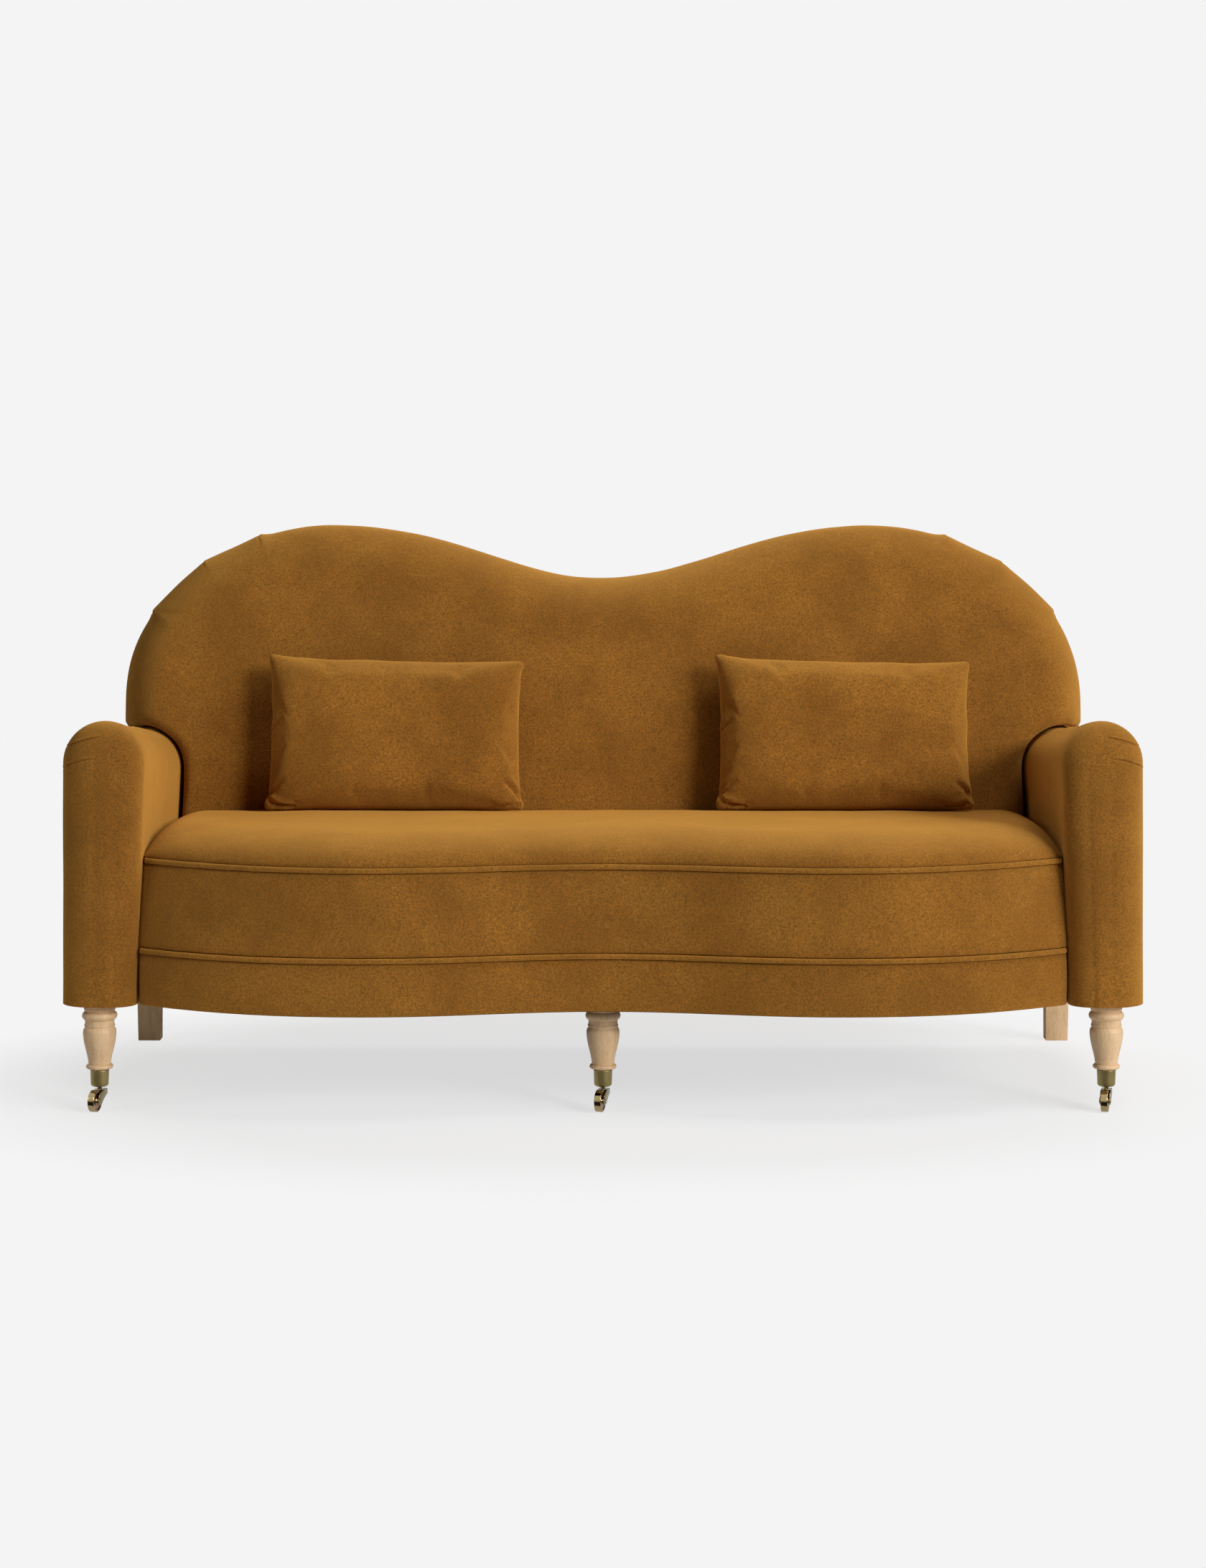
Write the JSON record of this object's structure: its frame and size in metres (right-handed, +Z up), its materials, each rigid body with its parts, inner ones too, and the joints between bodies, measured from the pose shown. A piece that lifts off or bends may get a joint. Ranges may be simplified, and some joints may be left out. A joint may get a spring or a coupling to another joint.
{
  "type": "camelback sofa",
  "caption": "Upholstered sofa with a double-arch back, serpentine bench seat, slim rounded arms, lumbar pillows and turned front legs on cup casters.",
  "frame": {"origin": "middle of the bounding box's footprint, on the floor", "axes": "+X to the right as seen from the front, +Y towards the back, +Z up"},
  "size_m": [2, 0.9392, 1.072],
  "materials": {
    "velvet": "amber brown velvet with a lengthwise nap",
    "pillow_velvet": "the same velvet on the loose pillows",
    "piping": "velvet covered round piping",
    "oak": "pale oak, satin clear finish",
    "antique_brass": "antique brass, satin",
    "polished_brass": "worn polished brass tread",
    "bolt_steel": "zinc plated",
    "frame_wood": "sawn pine, unfinished",
    "webbing": "woven jute straps",
    "lining": "thin black non-woven cloth"
  },
  "bodies": {
    "sofa": {"seat_pad": "velvet", "seat_welt_upper": "piping", "seat_welt_lower": "piping", "rail_cover": "velvet", "back_pad": "velvet", "outside_back": "velvet", "arm_pad_left": "velvet", "arm_pad_right": "velvet", "dust_cover": "lining", "front_rail": "frame_wood", "rear_rail": "frame_wood", "side_rail_left": "frame_wood", "side_rail_right": "frame_wood", "centre_rail": "frame_wood", "corner_block_front_left": "frame_wood", "corner_block_front_right": "frame_wood", "corner_block_rear_left": "frame_wood", "corner_block_rear_right": "frame_wood", "seat_webbing": "webbing", "back_top_rail": "frame_wood", "back_post_left": "frame_wood", "back_post_right": "frame_wood", "back_centre_stile": "frame_wood", "back_bottom_rail": "frame_wood", "arm_base_left": "frame_wood", "arm_base_right": "frame_wood", "arm_front_panel_left": "frame_wood", "arm_front_panel_right": "frame_wood", "arm_rear_post_left": "frame_wood", "arm_rear_post_right": "frame_wood", "arm_top_board_left": "frame_wood", "arm_top_board_right": "frame_wood", "rear_leg_left": "oak", "rear_leg_right": "oak", "rear_leg_bolt_left": "bolt_steel", "rear_leg_bolt_right": "bolt_steel", "front_leg_left": "oak", "front_leg_bolt_left": "bolt_steel", "caster_cup_left": "antique_brass", "front_leg_centre": "oak", "front_leg_bolt_centre": "bolt_steel", "caster_cup_centre": "antique_brass", "front_leg_right": "oak", "front_leg_bolt_right": "bolt_steel", "caster_cup_right": "antique_brass"},
    "caster_left_swivel": {"caster_horn_left": "antique_brass", "caster_axle_left": "antique_brass"},
    "caster_left_wheel": {"caster_wheel_left": "polished_brass"},
    "caster_centre_swivel": {"caster_horn_centre": "antique_brass", "caster_axle_centre": "antique_brass"},
    "caster_centre_wheel": {"caster_wheel_centre": "polished_brass"},
    "caster_right_swivel": {"caster_horn_right": "antique_brass", "caster_axle_right": "antique_brass"},
    "caster_right_wheel": {"caster_wheel_right": "polished_brass"},
    "pillow_left": {"pillow_left": "pillow_velvet"},
    "pillow_right": {"pillow_right": "pillow_velvet"}
  },
  "joints": [
    {"name": "caster_left_swivel_turn", "type": "hinge", "parent": "sofa", "child": "caster_left_swivel", "pos_m": [-0.93, -0.30675, 0.0435], "axis": [0, 0, 1], "continuous": true},
    {"name": "caster_left_wheel_roll", "type": "hinge", "parent": "caster_left_swivel", "child": "caster_left_wheel", "pos_m": [-0.93569, -0.328, 0.02], "axis": [0.9659, -0.2588, 0], "continuous": true},
    {"name": "caster_centre_swivel_turn", "type": "hinge", "parent": "sofa", "child": "caster_centre_swivel", "pos_m": [0, -0.30675, 0.0435], "axis": [0, 0, 1], "continuous": true},
    {"name": "caster_centre_wheel_roll", "type": "hinge", "parent": "caster_centre_swivel", "child": "caster_centre_wheel", "pos_m": [-0.00569, -0.328, 0.02], "axis": [0.9659, -0.2588, 0], "continuous": true},
    {"name": "caster_right_swivel_turn", "type": "hinge", "parent": "sofa", "child": "caster_right_swivel", "pos_m": [0.93, -0.30675, 0.0435], "axis": [0, 0, 1], "continuous": true},
    {"name": "caster_right_wheel_roll", "type": "hinge", "parent": "caster_right_swivel", "child": "caster_right_wheel", "pos_m": [0.92431, -0.328, 0.02], "axis": [0.9659, -0.2588, 0], "continuous": true},
    {"name": "pillow_left_lift", "type": "slide", "parent": "sofa", "child": "pillow_left", "axis": [0, 0, 1], "range_m": [0, 0.45]},
    {"name": "pillow_right_lift", "type": "slide", "parent": "sofa", "child": "pillow_right", "axis": [0, 0, 1], "range_m": [0, 0.45]}
  ]
}
